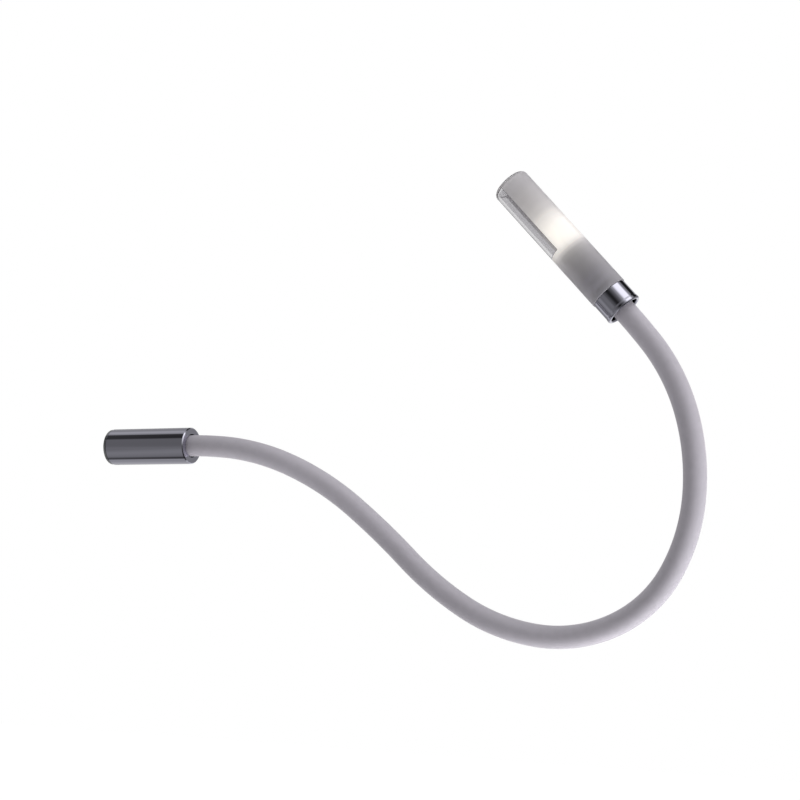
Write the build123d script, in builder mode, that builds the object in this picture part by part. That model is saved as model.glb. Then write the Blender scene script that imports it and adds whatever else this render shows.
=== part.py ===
from build123d import *
from math import atan2, cos, degrees, hypot, radians, sin, sqrt
import os

# A wall light on a bendable arm. A chrome base cylinder is screwed to the wall, a sleeved arm
# leaves its front face, dips, and loops up again to a slim lamp head in a frosted glass tube.
# Millimetres, +Z up. The origin is the middle of the base's rear face, on the wall (the XZ plane).
# The lamp stands out from the wall along -Y.

# Base cylinder
BASE_OD = 24.0
BASE_WALL = 1.4
BASE_BORE = BASE_OD - 2 * BASE_WALL
BASE_LENGTH = 62.0
BASE_EDGE = 0.6
BASE_WEB = 3.0
PLATE_STEP = 0.3
PLATE_OD = BASE_OD - 2 * PLATE_STEP
PLATE_FLANGE = 1.5
PLATE_BOSS_LENGTH = 8.5
PLATE_BOSS_EDGE = 0.3
PLATE_CLEARANCE = 0.1
WALL_SCREW_HOLE = 3.4
WALL_SCREW_HEAD = 6.0
WALL_SCREW_SEAT = 3.0
WALL_SCREW_RIM = 0.5
WALL_SCREW_SPACING = BASE_BORE - 2 * PLATE_CLEARANCE - WALL_SCREW_HEAD - 2 * WALL_SCREW_RIM
CABLE_INLET = 7.0
TONGUE_WIDTH = 10.0
TONGUE_THICKNESS = 1.6
TONGUE_DROP = 6.9
TONGUE_MARGIN = 1.0
GRUB_OD = 3.0
GRUB_LENGTH = 4.6
GRUB_SETBACK = 5.5
GRUB_SINK = 0.3
GRUB_HEX = 1.5
GRUB_HEX_DEPTH = 2.0
THREAD_CLEARANCE = 0.05

# Bendable arm: silicone sleeve over a wound steel conduit, with the lead inside
SLEEVE_OD = 14.0
CORE_OD = 10.0
CORE_BORE = 5.5
LEAD_OD = 3.4
SLEEVE_FIT = 0.05
ARM_STRETCH = 48.7
ARM_END_STRETCH = ARM_STRETCH / 2
# Each stretch turns by so many degrees upward and sideways, from the wall to the head
ARM_TURNS = [
    (-5.5, -6.5), (-19.5, -5.0), (-15.0, 2.5), (-4.5, 6.5), (13.5, 2.5), (23.0, -3.5),
    (32.5, 2.5), (34.5, 9.0), (25.0, -0.5), (20.0, 0.0), (22.5, 3.5), (3.5, 0.5),
]
# The stretches meet ball in cup, and this gap lets them swing thirty degrees either way
CUP_CLEARANCE = 0.3
CORE_END_GAP = 0.8
LEAD_END_GAP = 0.7

# Ferrules and ring nuts that hold the two ends of the conduit
FERRULE_SKIRT_OD = 13.0
FERRULE_SKIRT = 6.0
FERRULE_SHOULDER = 1.5
FERRULE_THREAD_OD = 10.0
FERRULE_THREAD = 8.5
FERRULE_BORE = 6.4
FERRULE_EDGE = 0.4
ROOT_SLEEVE_DEPTH = 3.0
NUT_WALL = 1.2
NUT_THICKNESS = 3.2
NUT_SLOT_WIDTH = 1.6
NUT_SLOT_DEPTH = 0.7
NUT_SLOTS = 4
ARM_RECESS_GAP = 0.8
ARM_RECESS_OD = SLEEVE_OD + 2 * ARM_RECESS_GAP
RECESS_FLOOR = BASE_LENGTH - ROOT_SLEEVE_DEPTH - FERRULE_SKIRT

# Terminals inside the base. The block stands a wire's fan away from the ferrule's end
TERMINAL_WIDTH = 14.4
TERMINAL_HEIGHT = 9.4
TERMINAL_DEPTH = 16.0
TERMINAL_CORNER = 0.8
TERMINAL_PITCH = 8.0
TERMINAL_TUBE_OD = 4.4
TERMINAL_TUBE_BORE = 2.9
TERMINAL_TUBE_INSET = 0.8
TERMINAL_SCREW_OD = 2.5
TERMINAL_SCREW_PITCH = 8.4
TERMINAL_SCREW_SINK = 0.4
SCREW_SLOT = 0.6
SCREW_SLOT_DEPTH = 0.8
BLOCK_SCREW_OD = 2.5
BLOCK_SCREW_HEAD = 3.6
BLOCK_SCREW_HEAD_HEIGHT = 1.8
BLOCK_SCREW_SINK = 0.2
WIRE_OD = 1.5
WIRE_GAP = 0.05
WIRE_FAN = 9.5
WIRE_STRAIGHT = 1.0
WIRE_GRIP = 5.0
FERRULE_END = RECESS_FLOOR - FERRULE_THREAD
TERMINAL_SETBACK = FERRULE_END - WIRE_FAN - 2 * WIRE_STRAIGHT - TERMINAL_DEPTH

# Head collar
GLASS_OD = 24.0
GLASS_WALL = 1.8
COLLAR_STEP = 0.4
COLLAR_OD = GLASS_OD - 2 * COLLAR_STEP
COLLAR_WALL = 1.9
COLLAR_RECESS_OD = COLLAR_OD - 2 * COLLAR_WALL
LIP_FLARE = 0.25
LIP_OD = COLLAR_OD + 2 * LIP_FLARE
LIP_TAPER = 0.05
LIP_LENGTH = 2.2
LIP_RUNOUT = 0.6
LIP_OVERHANG = 0.5
TIP_SLEEVE_DEPTH = 3.0
COLLAR_WEB_BOTTOM = TIP_SLEEVE_DEPTH + FERRULE_SKIRT
COLLAR_WEB = 3.0
COLLAR_TOP = 13.5
SPIGOT_GAP = 0.55
SPIGOT_OD = GLASS_OD - 2 * GLASS_WALL - 2 * SPIGOT_GAP
SPIGOT_WALL = 1.75
COLLAR_CAVITY_OD = SPIGOT_OD - 2 * SPIGOT_WALL
SPIGOT_TOP = 28.0

# Sealing rings and glass
RING_SECTION = 1.5
RING_GROOVE_WIDTH = 1.9
RING_HEIGHTS = (17.5, 24.0)
RING_RUNNING_CLEARANCE = 0.05
GLASS_SEAT_GAP = 0.3
GLASS_TIP = 108.5
GLASS_TIP_ROUND = 3.0
GLASS_RIM_ROUND = 0.4

# Lamp holder and lamp
HOLDER_SLEEVE_STEP = 0.05
HOLDER_SLEEVE_OD = SPIGOT_OD - 2 * HOLDER_SLEEVE_STEP
HOLDER_SLEEVE_EDGE = 0.5
HOLDER_PLUG_LENGTH = 8.0
HOLDER_PLUG_BOTTOM = SPIGOT_TOP - HOLDER_PLUG_LENGTH
HOLDER_PLUG_WALL = 1.1
HOLDER_PLUG_BORE = COLLAR_CAVITY_OD - 2 * HOLDER_PLUG_WALL
HOLDER_SEAT_HEIGHT = 8.5
HOLDER_SEAT = SPIGOT_TOP + HOLDER_SEAT_HEIGHT
HOLDER_HEIGHT = 9.5
HOLDER_EDGE = 0.4
HOLDER_TOP = HOLDER_SEAT + HOLDER_HEIGHT
HOLDER_SHROUD = 2.5
HOLDER_SLEEVE_TOP = HOLDER_TOP + HOLDER_SHROUD
HOLDER_CLEARANCE = 0.1
HOLDER_PIN_HOLE = 1.3
HOLDER_RIVET_HOLE = 2.4
HOLDER_RIVET_SPACING = 9.6
HOLDER_RING_WIDTH = 1.6
HOLDER_RING_THICKNESS = 0.8
HOLDER_RING_OPENING = 3.0
CONTACT_OD = 2.4
CONTACT_HEIGHT = 7.0
CONTACT_INSET = 0.5
PIN_OD = 0.8
PIN_PITCH = 4.0
PIN_LENGTH = 6.8
BULB_OD = 9.5
BULB_SEAT_GAP = 1.3
BULB_BOTTOM = HOLDER_TOP + BULB_SEAT_GAP
BULB_LENGTH = 26.2
BULB_TOP = BULB_BOTTOM + BULB_LENGTH
BULB_PRESS_WIDTH = 8.6
BULB_PRESS_THICKNESS = 3.6
BULB_PRESS_CORNER = 1.0
BULB_PRESS_HEIGHT = 7.2
BULB_PRESS_TOP = BULB_BOTTOM + BULB_PRESS_HEIGHT
BULB_FLOOR = 2.0
BULB_CEILING = 1.2
BULB_WALL = 0.9
BULB_TIP_ROUND = 3.4
FILAMENT_OD = 1.9
FILAMENT_WIRE = 0.28
FILAMENT_LEG = 0.45
FILAMENT_TURNS = 6
FILAMENT_PITCH = 1.1
FILAMENT_RISE = 6.0
FILAMENT_BOTTOM = BULB_PRESS_TOP + FILAMENT_RISE

WALL_FRAME = Plane(origin=(0, 0, 0), x_dir=(0, 0, 1), z_dir=(0, -1, 0))
ARM_START = Plane(origin=(0, -BASE_LENGTH, 0), x_dir=(0, 0, 1), z_dir=(0, -1, 0))


def turned_about(plane, axis, angle):
    """Return the plane turned about an axis by an angle in degrees."""
    about_origin = Axis((0, 0, 0), axis.direction)
    return Plane(
        origin=axis.position + (plane.origin - axis.position).rotate(about_origin, angle),
        x_dir=plane.x_dir.rotate(about_origin, angle),
        z_dir=plane.z_dir.rotate(about_origin, angle),
    )


def bend_of(start, turn, length):
    """Return the bend axis and the whole angle of a stretch that begins on a plane."""
    upward, sideways = turn
    angle = hypot(upward, sideways)
    heading = start.x_dir * (upward / angle) + start.y_dir * (sideways / angle)
    radius = length / radians(angle)
    return Axis(start.origin + heading * radius, start.z_dir.cross(heading)), angle


def stretch_length(index):
    """Return the length of one stretch: the two end ones are half as long."""
    return ARM_END_STRETCH if index in (0, len(ARM_TURNS) - 1) else ARM_STRETCH


def arm_planes():
    """Return the plane square to the arm at the start of each stretch, and at the arm's end."""
    planes = [ARM_START]
    for index, turn in enumerate(ARM_TURNS):
        axis, angle = bend_of(planes[-1], turn, stretch_length(index))
        planes.append(turned_about(planes[-1], axis, angle))
    return planes


ARM_PLANES = arm_planes()
HEAD_FRAME = ARM_PLANES[-1]


def side_section(frame):
    """Return the sketch plane through a frame's axis: x is the radius, y the height."""
    return Plane(origin=frame.origin, x_dir=frame.x_dir, z_dir=frame.x_dir.cross(frame.z_dir))


def long_axis(frame):
    """Return the axis of a frame."""
    return Axis(frame.origin, frame.z_dir)


def raised(frame, height, shift_x=0.0, shift_y=0.0):
    """Return the frame moved along its own axes."""
    return Plane(
        origin=frame.origin + frame.z_dir * height + frame.x_dir * shift_x + frame.y_dir * shift_y,
        x_dir=frame.x_dir,
        z_dir=frame.z_dir,
    )


def lathe(frame, points, mode=Mode.ADD):
    """Revolve a closed outline of (radius, height) points into the part, or out of it."""
    with BuildSketch(side_section(frame)) as outline:
        with BuildLine():
            Polyline(points, close=True)
        make_face()
    revolve(outline.sketch, axis=long_axis(frame), mode=mode)


def rod(frame, diameter, bottom, top, shift_x=0.0, shift_y=0.0, mode=Mode.ADD):
    """Add or cut a round rod between two heights of a frame."""
    with BuildSketch(raised(frame, bottom, shift_x, shift_y)) as end_face:
        Circle(diameter / 2)
    extrude(end_face.sketch, amount=top - bottom, mode=mode)


def arc_tube(start, axis, whole, first, last, length, outer, bore):
    """Add a bent tube from one share of a stretch's length to another."""
    near = turned_about(start, axis, whole * first / length)
    with BuildSketch(near) as end_face:
        Circle(outer / 2)
        if bore:
            Circle(bore / 2, mode=Mode.SUBTRACT)
    revolve(end_face.sketch, axis=axis, revolution_arc=whole * (last - first) / length)


def arm_sleeve(index):
    """Build the silicone sleeve of one stretch: a ball nose at its far end, a cup at its near end."""
    start, end = ARM_PLANES[index], ARM_PLANES[index + 1]
    length = stretch_length(index)
    axis, whole = bend_of(start, ARM_TURNS[index], length)
    bore = CORE_OD + 2 * SLEEVE_FIT
    with BuildPart() as sleeve:
        arc_tube(start, axis, whole, 0, length, length, SLEEVE_OD, bore)
        if index == 0:
            with BuildSketch(raised(start, -ROOT_SLEEVE_DEPTH)):
                Circle(SLEEVE_OD / 2)
                Circle(bore / 2, mode=Mode.SUBTRACT)
            extrude(amount=ROOT_SLEEVE_DEPTH)
        else:
            with Locations(start.origin):
                Sphere(SLEEVE_OD / 2 + CUP_CLEARANCE, mode=Mode.SUBTRACT)
        if end is HEAD_FRAME:
            with BuildSketch(end):
                Circle(SLEEVE_OD / 2)
                Circle(bore / 2, mode=Mode.SUBTRACT)
            extrude(amount=TIP_SLEEVE_DEPTH)
        else:
            nose = sqrt((SLEEVE_OD / 2) ** 2 - (bore / 2) ** 2)
            open_angle = degrees(atan2(nose, bore / 2))
            with BuildSketch(side_section(end)):
                with BuildLine():
                    CenterArc((0, 0), SLEEVE_OD / 2, 0, open_angle)
                    Polyline((bore / 2, nose), (bore / 2, 0), (SLEEVE_OD / 2, 0))
                make_face()
            revolve(axis=long_axis(end))
    return sleeve


def arm_core(index):
    """Build the steel conduit of one stretch, clear of the ball nose before it."""
    start, end = ARM_PLANES[index], ARM_PLANES[index + 1]
    length = stretch_length(index)
    axis, whole = bend_of(start, ARM_TURNS[index], length)
    last = length if end is HEAD_FRAME else length - CORE_END_GAP
    with BuildPart() as core:
        arc_tube(start, axis, whole, 0, last, length, CORE_OD, CORE_BORE)
        if index == 0:
            depth = ROOT_SLEEVE_DEPTH + FERRULE_SKIRT - FERRULE_SHOULDER
            with BuildSketch(raised(start, -depth)):
                Circle(CORE_OD / 2)
                Circle(CORE_BORE / 2, mode=Mode.SUBTRACT)
            extrude(amount=depth)
        else:
            with Locations(start.origin):
                Sphere(SLEEVE_OD / 2 + CUP_CLEARANCE, mode=Mode.SUBTRACT)
        if end is HEAD_FRAME:
            with BuildSketch(end):
                Circle(CORE_OD / 2)
                Circle(CORE_BORE / 2, mode=Mode.SUBTRACT)
            extrude(amount=TIP_SLEEVE_DEPTH + FERRULE_SKIRT - FERRULE_SHOULDER)
    return core


def fanned_wires(frame, split, spread, end, pitch):
    """Add two wires that leave the lead side by side, part in an S bend, and end straight."""
    onward = frame.z_dir * (1 if spread > split else -1)
    near, far = WIRE_OD / 2 + WIRE_GAP, pitch / 2
    slant = 2 * atan2(far - near, abs(spread - split))
    for side in (-1, 1):
        first, middle, last, tip = (
            raised(frame, height, shift_y=side * offset).origin
            for height, offset in ((split, near), ((split + spread) / 2, (near + far) / 2),
                                   (spread, far), (end, far))
        )
        with BuildLine() as route:
            TangentArc(first, middle, tangent=onward)
            TangentArc(middle, last, tangent=onward * cos(slant) + frame.y_dir * side * sin(slant))
            Line(last, tip)
        with BuildSketch(raised(frame, split, shift_y=side * near)) as end_face:
            Circle(WIRE_OD / 2)
        sweep(end_face.sketch, path=route.wires()[0])


def arm_lead(index):
    """Build the lead of one stretch. The first reaches the terminals, the last the lamp holder."""
    start, end = ARM_PLANES[index], ARM_PLANES[index + 1]
    length = stretch_length(index)
    axis, whole = bend_of(start, ARM_TURNS[index], length)
    first = 0 if index == 0 else LEAD_END_GAP
    last = length if end is HEAD_FRAME else length - LEAD_END_GAP
    with BuildPart() as lead:
        arc_tube(start, axis, whole, first, last, length, LEAD_OD, 0)
        if index == 0:
            split = FERRULE_END - WIRE_STRAIGHT - BASE_LENGTH
            spread = split - WIRE_FAN
            rod(start, LEAD_OD, split, 0)
            fanned_wires(start, split, spread, spread - WIRE_STRAIGHT - WIRE_GRIP, TERMINAL_PITCH)
        if end is HEAD_FRAME:
            spread = HOLDER_SEAT - WIRE_STRAIGHT
            split = spread - WIRE_FAN
            rod(end, LEAD_OD, 0, split)
            fanned_wires(end, split, spread, HOLDER_SEAT + CONTACT_INSET, PIN_PITCH)
    return lead


def wall_plate():
    """Build the plate on the wall: a flange, a boss that fills the base, and a terminal tongue."""
    boss = BASE_BORE / 2 - PLATE_CLEARANCE
    top = PLATE_FLANGE + PLATE_BOSS_LENGTH
    with BuildPart() as plate:
        lathe(WALL_FRAME, [(0, 0), (PLATE_OD / 2, 0), (PLATE_OD / 2, PLATE_FLANGE),
                           (boss, PLATE_FLANGE), (boss, top), (0, top)])
        chamfer(plate.edges().filter_by(GeomType.CIRCLE).sort_by(Axis.Y)[0], PLATE_BOSS_EDGE)
        with BuildSketch(raised(WALL_FRAME, top, shift_x=-TONGUE_DROP + TONGUE_THICKNESS / 2)):
            Rectangle(TONGUE_THICKNESS, TONGUE_WIDTH)
        extrude(amount=TERMINAL_SETBACK + TERMINAL_DEPTH + TONGUE_MARGIN - top)
        hole, head = WALL_SCREW_HOLE / 2, WALL_SCREW_HEAD / 2
        for side in (-1, 1):
            lathe(raised(WALL_FRAME, 0, shift_y=side * WALL_SCREW_SPACING / 2), [
                (0, 0), (hole, 0), (hole, WALL_SCREW_SEAT), (head, WALL_SCREW_SEAT + head - hole),
                (head, top), (0, top)], mode=Mode.SUBTRACT)
        middle = TERMINAL_SETBACK + TERMINAL_DEPTH / 2
        with BuildSketch(Plane(origin=(0, -middle, -TONGUE_DROP), z_dir=(0, 0, 1))):
            Circle(BLOCK_SCREW_OD / 2 + THREAD_CLEARANCE)
        extrude(amount=TONGUE_THICKNESS, mode=Mode.SUBTRACT)
        with BuildSketch(Plane(origin=(0, -GRUB_SETBACK, 0), z_dir=(0, 0, -1))):
            Circle(GRUB_OD / 2 + THREAD_CLEARANCE)
        extrude(amount=BASE_OD, mode=Mode.SUBTRACT)
        rod(WALL_FRAME, CABLE_INLET, 0, top, mode=Mode.SUBTRACT)
    return plate


def base_housing():
    """Build the chrome base: a cup over the wall plate with a recess that the arm leaves through."""
    outer, inner = BASE_OD / 2, BASE_BORE / 2
    bore = FERRULE_THREAD_OD / 2 + THREAD_CLEARANCE
    with BuildPart() as housing:
        lathe(WALL_FRAME, [
            (inner, PLATE_FLANGE), (outer, PLATE_FLANGE), (outer, BASE_LENGTH),
            (ARM_RECESS_OD / 2, BASE_LENGTH), (ARM_RECESS_OD / 2, RECESS_FLOOR), (bore, RECESS_FLOOR),
            (bore, RECESS_FLOOR - BASE_WEB), (inner, RECESS_FLOOR - BASE_WEB),
        ])
        rims = housing.edges().filter_by(GeomType.CIRCLE).filter_by(
            lambda rim: abs(rim.radius - outer) < 0.01)
        chamfer(rims, BASE_EDGE)
        with BuildSketch(Plane(origin=(0, -GRUB_SETBACK, 0), z_dir=(0, 0, -1))):
            Circle(GRUB_OD / 2 + THREAD_CLEARANCE)
        extrude(amount=BASE_OD, mode=Mode.SUBTRACT)
    return housing


def ferrule(frame, seat, sign):
    """Build a ferrule on a web. Its skirt holds the conduit and its thread goes through the web."""
    skirt, thread = FERRULE_SKIRT_OD / 2, FERRULE_THREAD_OD / 2
    with BuildPart() as bush:
        lathe(frame, [
            (CORE_OD / 2, seat - sign * FERRULE_SKIRT), (skirt, seat - sign * FERRULE_SKIRT),
            (skirt, seat), (thread, seat), (thread, seat + sign * FERRULE_THREAD),
            (FERRULE_BORE / 2, seat + sign * FERRULE_THREAD),
            (FERRULE_BORE / 2, seat - sign * FERRULE_SHOULDER),
            (CORE_OD / 2, seat - sign * FERRULE_SHOULDER),
        ])
        rims = bush.edges().filter_by(GeomType.CIRCLE).filter_by(
            lambda rim: abs(rim.radius - skirt) < 0.01)
        chamfer(rims, FERRULE_EDGE)
    return bush


def ring_nut(frame, bottom):
    """Build a round nut on a ferrule's thread, with slots in its rim for a pin spanner."""
    outer = FERRULE_THREAD_OD / 2 + NUT_WALL
    with BuildPart() as nut:
        with BuildSketch(raised(frame, bottom)):
            Circle(outer)
            Circle(FERRULE_THREAD_OD / 2, mode=Mode.SUBTRACT)
            with PolarLocations(outer - NUT_SLOT_DEPTH / 2, NUT_SLOTS):
                Rectangle(NUT_SLOT_DEPTH + 2 * THREAD_CLEARANCE, NUT_SLOT_WIDTH, mode=Mode.SUBTRACT)
        extrude(amount=NUT_THICKNESS)
    return nut


def terminal_box():
    """Return the middle of the terminal block, as setback and height."""
    return TERMINAL_SETBACK + TERMINAL_DEPTH / 2, TONGUE_THICKNESS - TONGUE_DROP + TERMINAL_HEIGHT / 2


def terminal_block():
    """Build the two-pole block with its tube bores and screw wells."""
    middle, height = terminal_box()
    with BuildPart() as block:
        with Locations((0, -middle, height)):
            Box(TERMINAL_WIDTH, TERMINAL_DEPTH, TERMINAL_HEIGHT)
        fillet(block.edges().filter_by(Axis.Y).group_by(Axis.Z)[-1], TERMINAL_CORNER)
        top = Plane(origin=(0, -middle, height + TERMINAL_HEIGHT / 2), z_dir=(0, 0, 1))
        for side in (-1, 1):
            rod(WALL_FRAME, TERMINAL_TUBE_OD, TERMINAL_SETBACK, TERMINAL_SETBACK + TERMINAL_DEPTH,
                shift_x=0, shift_y=side * TERMINAL_PITCH / 2, mode=Mode.SUBTRACT)
            with BuildSketch(top):
                with Locations((side * TERMINAL_PITCH / 2, -TERMINAL_SCREW_PITCH / 2),
                               (side * TERMINAL_PITCH / 2, TERMINAL_SCREW_PITCH / 2)):
                    Circle(TERMINAL_SCREW_OD / 2 + THREAD_CLEARANCE)
            extrude(amount=-(height + TERMINAL_HEIGHT / 2), mode=Mode.SUBTRACT)
        with BuildSketch(top):
            Circle(BLOCK_SCREW_OD / 2 + THREAD_CLEARANCE)
        extrude(amount=-TERMINAL_HEIGHT, mode=Mode.SUBTRACT)
        with BuildSketch(top):
            Circle(BLOCK_SCREW_HEAD / 2 + THREAD_CLEARANCE)
        extrude(amount=-BLOCK_SCREW_HEAD_HEIGHT - BLOCK_SCREW_SINK, mode=Mode.SUBTRACT)
    return block


def terminal_tube(side):
    """Build one brass tube of the block, tapped for its two screws."""
    middle, _ = terminal_box()
    first = TERMINAL_SETBACK + TERMINAL_TUBE_INSET
    last = TERMINAL_SETBACK + TERMINAL_DEPTH - TERMINAL_TUBE_INSET
    shift = side * TERMINAL_PITCH / 2
    with BuildPart() as tube:
        rod(WALL_FRAME, TERMINAL_TUBE_OD, first, last, shift_y=shift)
        rod(WALL_FRAME, TERMINAL_TUBE_BORE, first, last, shift_y=shift, mode=Mode.SUBTRACT)
        with BuildSketch(Plane(origin=(0, -middle, 0), z_dir=(0, 0, 1))):
            with Locations((-shift, -TERMINAL_SCREW_PITCH / 2), (-shift, TERMINAL_SCREW_PITCH / 2)):
                Circle(TERMINAL_SCREW_OD / 2)
        extrude(amount=TERMINAL_TUBE_OD, mode=Mode.SUBTRACT)
    return tube


def slotted_rod(place, diameter, length):
    """Add a slotted screw end whose top is on a plane and whose shank goes down from it."""
    with BuildSketch(place) as top:
        Circle(diameter / 2)
    extrude(top.sketch, amount=-length)
    with BuildSketch(place) as slot:
        Rectangle(diameter, SCREW_SLOT)
    extrude(slot.sketch, amount=-SCREW_SLOT_DEPTH, mode=Mode.SUBTRACT)


def terminal_screws():
    """Build the four terminal screws, down on the wire ends."""
    middle, height = terminal_box()
    top = height + TERMINAL_HEIGHT / 2 - TERMINAL_SCREW_SINK
    with BuildPart() as screws:
        for side in (-1, 1):
            for row in (-1, 1):
                place = Plane(
                    origin=(side * TERMINAL_PITCH / 2, -middle + row * TERMINAL_SCREW_PITCH / 2, top),
                    z_dir=(0, 0, 1),
                )
                slotted_rod(place, TERMINAL_SCREW_OD, top - WIRE_OD / 2)
    return screws


def block_screw():
    """Build the screw that holds the terminal block on its tongue."""
    middle, height = terminal_box()
    head_top = height + TERMINAL_HEIGHT / 2 - BLOCK_SCREW_SINK
    place = Plane(origin=(0, -middle, head_top), z_dir=(0, 0, 1))
    with BuildPart() as screw:
        with BuildSketch(place):
            Circle(BLOCK_SCREW_OD / 2)
        extrude(amount=-(head_top + TONGUE_DROP))
        slotted_rod(place, BLOCK_SCREW_HEAD, BLOCK_SCREW_HEAD_HEIGHT)
    return screw


def grub_screw():
    """Build the hexagon-socket grub screw that locks the base cup on the wall plate."""
    outer = BASE_OD / 2 - GRUB_SINK
    with BuildPart() as grub:
        with BuildSketch(Plane(origin=(0, -GRUB_SETBACK, -outer), z_dir=(0, 0, 1))):
            Circle(GRUB_OD / 2)
        extrude(amount=GRUB_LENGTH)
        with BuildSketch(Plane(origin=(0, -GRUB_SETBACK, -outer), z_dir=(0, 0, 1))):
            RegularPolygon(GRUB_HEX / 2, 6, major_radius=False)
        extrude(amount=GRUB_HEX_DEPTH, mode=Mode.SUBTRACT)
    return grub


def head_collar():
    """Build the chrome collar: a rolled lip, a deep recess, a web, and a spigot for the glass."""
    outer, lip = COLLAR_OD / 2, LIP_OD / 2
    recess, cavity, spigot = COLLAR_RECESS_OD / 2, COLLAR_CAVITY_OD / 2, SPIGOT_OD / 2
    bore = FERRULE_THREAD_OD / 2 + THREAD_CLEARANCE
    web_top = COLLAR_WEB_BOTTOM + COLLAR_WEB
    roll = (lip - recess) / 2
    with BuildPart() as collar:
        with BuildSketch(side_section(HEAD_FRAME)):
            with BuildLine():
                ThreePointArc(
                    (recess, roll - LIP_OVERHANG), (recess + roll, -LIP_OVERHANG),
                    (lip, roll - LIP_OVERHANG),
                )
                Line((lip, roll - LIP_OVERHANG), (lip - LIP_TAPER, LIP_LENGTH - LIP_OVERHANG))
                Polyline(
                    (lip - LIP_TAPER, LIP_LENGTH - LIP_OVERHANG), (outer, LIP_LENGTH + LIP_RUNOUT),
                    (outer, COLLAR_TOP),
                    (spigot, COLLAR_TOP), (spigot, SPIGOT_TOP), (cavity, SPIGOT_TOP), (cavity, web_top),
                    (bore, web_top), (bore, COLLAR_WEB_BOTTOM), (recess, COLLAR_WEB_BOTTOM),
                    (recess, roll - LIP_OVERHANG),
                )
            make_face()
        revolve(axis=long_axis(HEAD_FRAME))
        groove = GLASS_OD / 2 - GLASS_WALL - RING_RUNNING_CLEARANCE - RING_SECTION
        for height in RING_HEIGHTS:
            with BuildSketch(side_section(HEAD_FRAME)):
                with Locations(((groove + spigot) / 2, height)):
                    Rectangle(spigot - groove, RING_GROOVE_WIDTH)
            revolve(axis=long_axis(HEAD_FRAME), mode=Mode.SUBTRACT)
    return collar


def seal_ring(height):
    """Build one rubber ring in its groove, proud enough to guide the glass."""
    outer = GLASS_OD / 2 - GLASS_WALL - RING_RUNNING_CLEARANCE
    with BuildPart() as ring:
        with BuildSketch(side_section(HEAD_FRAME)):
            with Locations((outer - RING_SECTION / 2, height)):
                Circle(RING_SECTION / 2)
        revolve(axis=long_axis(HEAD_FRAME))
    return ring


def glass_shade():
    """Build the glass tube: one closed, softly rounded end, and an open rim on the collar."""
    outer, inner = GLASS_OD / 2, GLASS_OD / 2 - GLASS_WALL
    rim = COLLAR_TOP + GLASS_SEAT_GAP
    with BuildPart() as glass:
        lathe(HEAD_FRAME, [
            (0, GLASS_TIP), (outer, GLASS_TIP), (outer, rim), (inner, rim),
            (inner, GLASS_TIP - GLASS_WALL), (0, GLASS_TIP - GLASS_WALL),
        ])
        rings = glass.edges().filter_by(GeomType.CIRCLE)
        along = rings.sort_by(long_axis(HEAD_FRAME))
        fillet(along[-1], GLASS_TIP_ROUND)
        rings = glass.edges().filter_by(GeomType.CIRCLE)
        inner_corner = [e for e in rings if abs(e.radius - inner) < 0.01 and
                        (e.arc_center - HEAD_FRAME.origin).dot(HEAD_FRAME.z_dir) > GLASS_TIP / 2]
        fillet(inner_corner, GLASS_TIP_ROUND - GLASS_WALL / 2)
        rings = glass.edges().filter_by(GeomType.CIRCLE)
        open_rim = [e for e in rings if
                    (e.arc_center - HEAD_FRAME.origin).dot(HEAD_FRAME.z_dir) < rim + 0.01]
        fillet(open_rim, GLASS_RIM_ROUND)
    return glass


def holder_sleeve():
    """Build the opaque tube inside the glass that carries the lamp holder."""
    outer = HOLDER_SLEEVE_OD / 2
    plug = COLLAR_CAVITY_OD / 2 - THREAD_CLEARANCE
    seat = COLLAR_CAVITY_OD / 2
    bore = HOLDER_PLUG_BORE / 2
    with BuildPart() as sleeve:
        lathe(HEAD_FRAME, [
            (bore, HOLDER_PLUG_BOTTOM), (plug, HOLDER_PLUG_BOTTOM), (plug, SPIGOT_TOP),
            (outer, SPIGOT_TOP), (outer, HOLDER_SLEEVE_TOP), (seat, HOLDER_SLEEVE_TOP),
            (seat, HOLDER_SEAT), (bore, HOLDER_SEAT),
        ])
        rims = sleeve.edges().filter_by(GeomType.CIRCLE)
        top = [e for e in rims if
               (e.arc_center - HEAD_FRAME.origin).dot(HEAD_FRAME.z_dir) > HOLDER_SLEEVE_TOP - 0.01]
        chamfer(top, HOLDER_SLEEVE_EDGE)
    return sleeve


def lamp_holder():
    """Build the ceramic holder: a cup of holes for the lamp's two pins and its spring contacts."""
    outer = COLLAR_CAVITY_OD / 2 - HOLDER_CLEARANCE
    with BuildPart() as holder:
        lathe(HEAD_FRAME, [(0, HOLDER_SEAT), (outer, HOLDER_SEAT), (outer, HOLDER_TOP), (0, HOLDER_TOP)])
        chamfer(holder.edges().filter_by(GeomType.CIRCLE), HOLDER_EDGE)
        for side in (-1, 1):
            rod(HEAD_FRAME, CONTACT_OD, HOLDER_SEAT, HOLDER_SEAT + CONTACT_HEIGHT,
                shift_y=side * PIN_PITCH / 2, mode=Mode.SUBTRACT)
            rod(HEAD_FRAME, HOLDER_PIN_HOLE, HOLDER_SEAT, HOLDER_TOP,
                shift_y=side * PIN_PITCH / 2, mode=Mode.SUBTRACT)
            rod(HEAD_FRAME, HOLDER_RIVET_HOLE, HOLDER_SEAT, HOLDER_TOP,
                shift_x=side * HOLDER_RIVET_SPACING / 2, mode=Mode.SUBTRACT)
    return holder


def holder_ring():
    """Build the sprung ring above the holder, open on one side."""
    outer = COLLAR_CAVITY_OD / 2 - THREAD_CLEARANCE
    with BuildPart() as ring:
        with BuildSketch(raised(HEAD_FRAME, HOLDER_TOP)):
            Circle(outer)
            Circle(outer - HOLDER_RING_WIDTH, mode=Mode.SUBTRACT)
            with Locations((outer, 0)):
                Rectangle(3 * HOLDER_RING_WIDTH, HOLDER_RING_OPENING, mode=Mode.SUBTRACT)
        extrude(amount=HOLDER_RING_THICKNESS)
    return ring


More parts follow.
